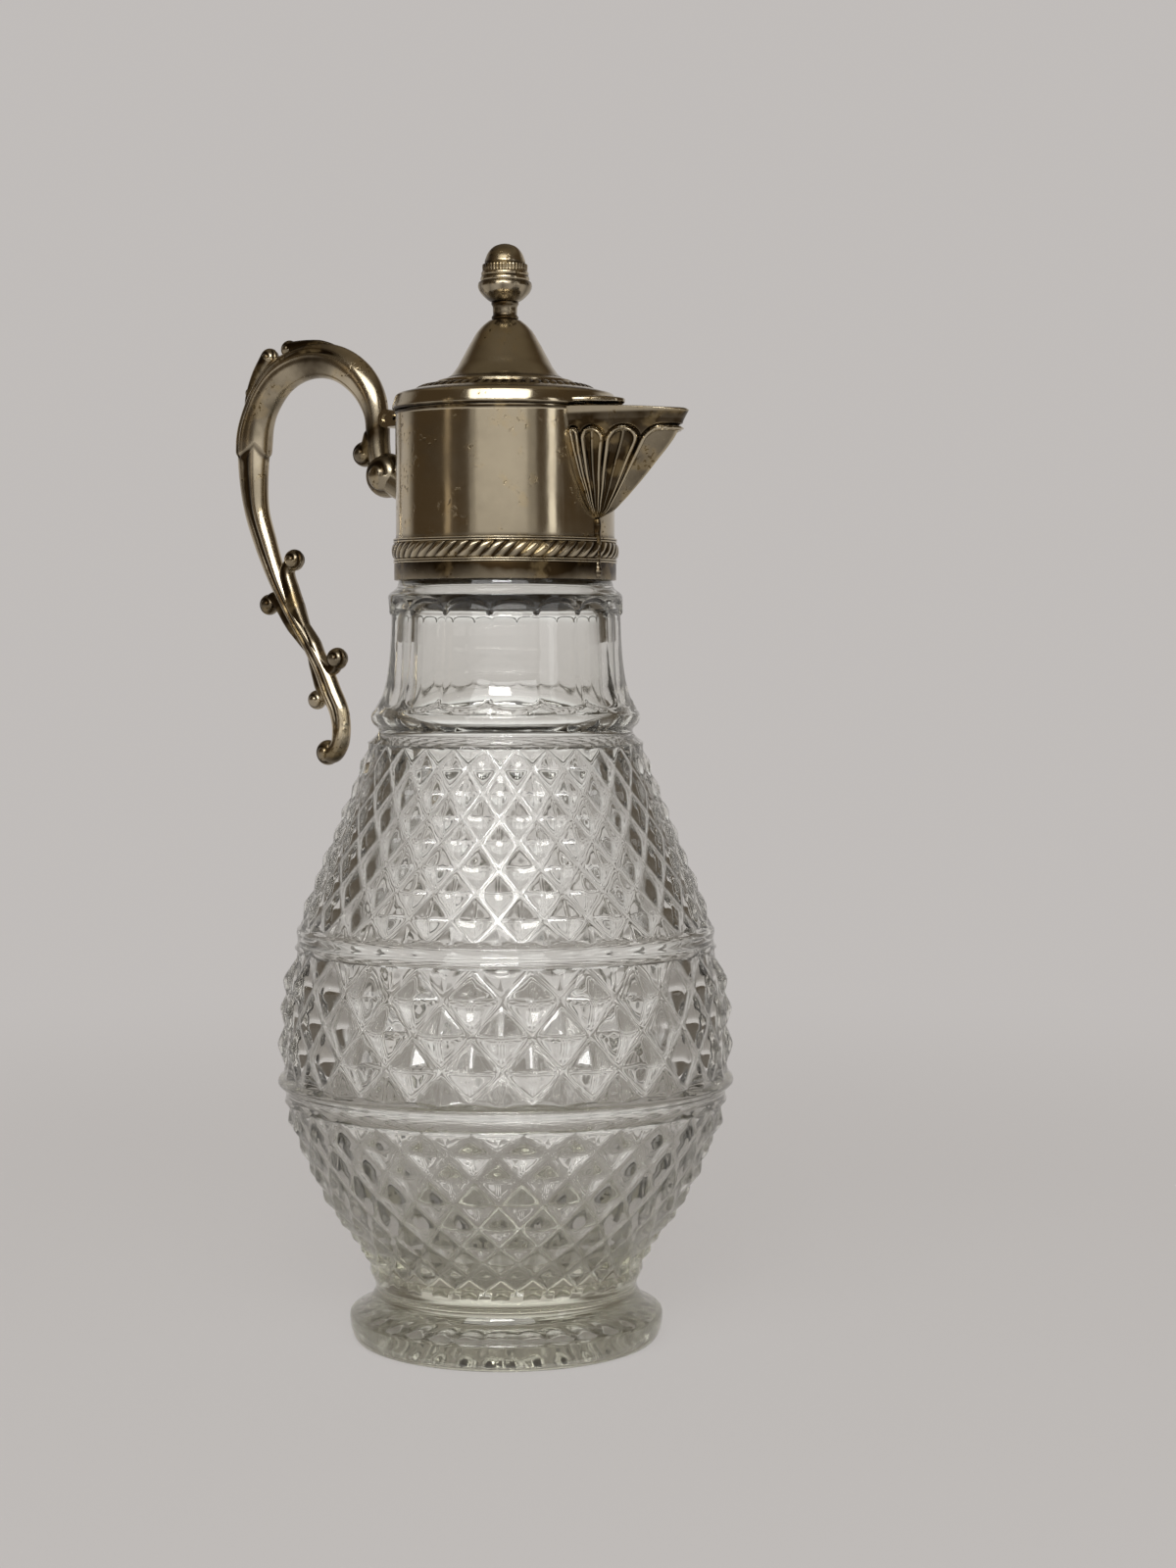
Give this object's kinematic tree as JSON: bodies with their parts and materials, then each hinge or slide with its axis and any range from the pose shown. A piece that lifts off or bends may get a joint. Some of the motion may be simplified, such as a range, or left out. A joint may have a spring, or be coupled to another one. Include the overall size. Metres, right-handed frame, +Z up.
{
  "type": "crystal jug",
  "caption": "Pressed-glass claret jug with diamond bands in a silver-plated mount, with a fluted spout, a scroll handle and a hinged lid with an acorn finial.",
  "frame": {"origin": "middle of the foot's flat resting ring", "axes": "+Z up, +X towards the spout, -X towards the handle"},
  "size_m": [0.152, 0.123, 0.2897],
  "materials": {
    "clear_glass": "clear pressed glass, polished",
    "silver_plate": "worn silver plate over brass, tarnished in the recesses",
    "bare_brass": "dull brass",
    "plaster": "matt plaster"
  },
  "bodies": {
    "jug": {"glass_bottle": "clear_glass", "neck_bedding": "plaster", "mouth_ring": "silver_plate", "collar_sleeve": "silver_plate", "upper_band_wire": "silver_plate", "rope_band": "silver_plate", "lower_band_wire": "silver_plate", "skirt_band": "silver_plate", "seam_rib": "silver_plate", "spout": "silver_plate", "handle": "silver_plate", "collar_hinge_leaf": "silver_plate", "hinge_pin": "bare_brass"},
    "lid": {"lid_cover": "silver_plate", "lid_bead_ring": "silver_plate", "lid_dome": "silver_plate", "lid_locating_ring": "silver_plate", "lid_hinge_leaf": "silver_plate", "finial_stem": "silver_plate", "finial_cup": "silver_plate", "finial_acorn": "silver_plate", "finial_stud": "bare_brass", "finial_washer": "bare_brass", "finial_nut": "bare_brass"}
  },
  "joints": [
    {"name": "lid_hinge", "type": "hinge", "parent": "jug", "child": "lid", "pos_m": [-0.0343, 0, 0.2452], "axis": [0, -1, 0], "range_deg": [0, 88]}
  ]
}
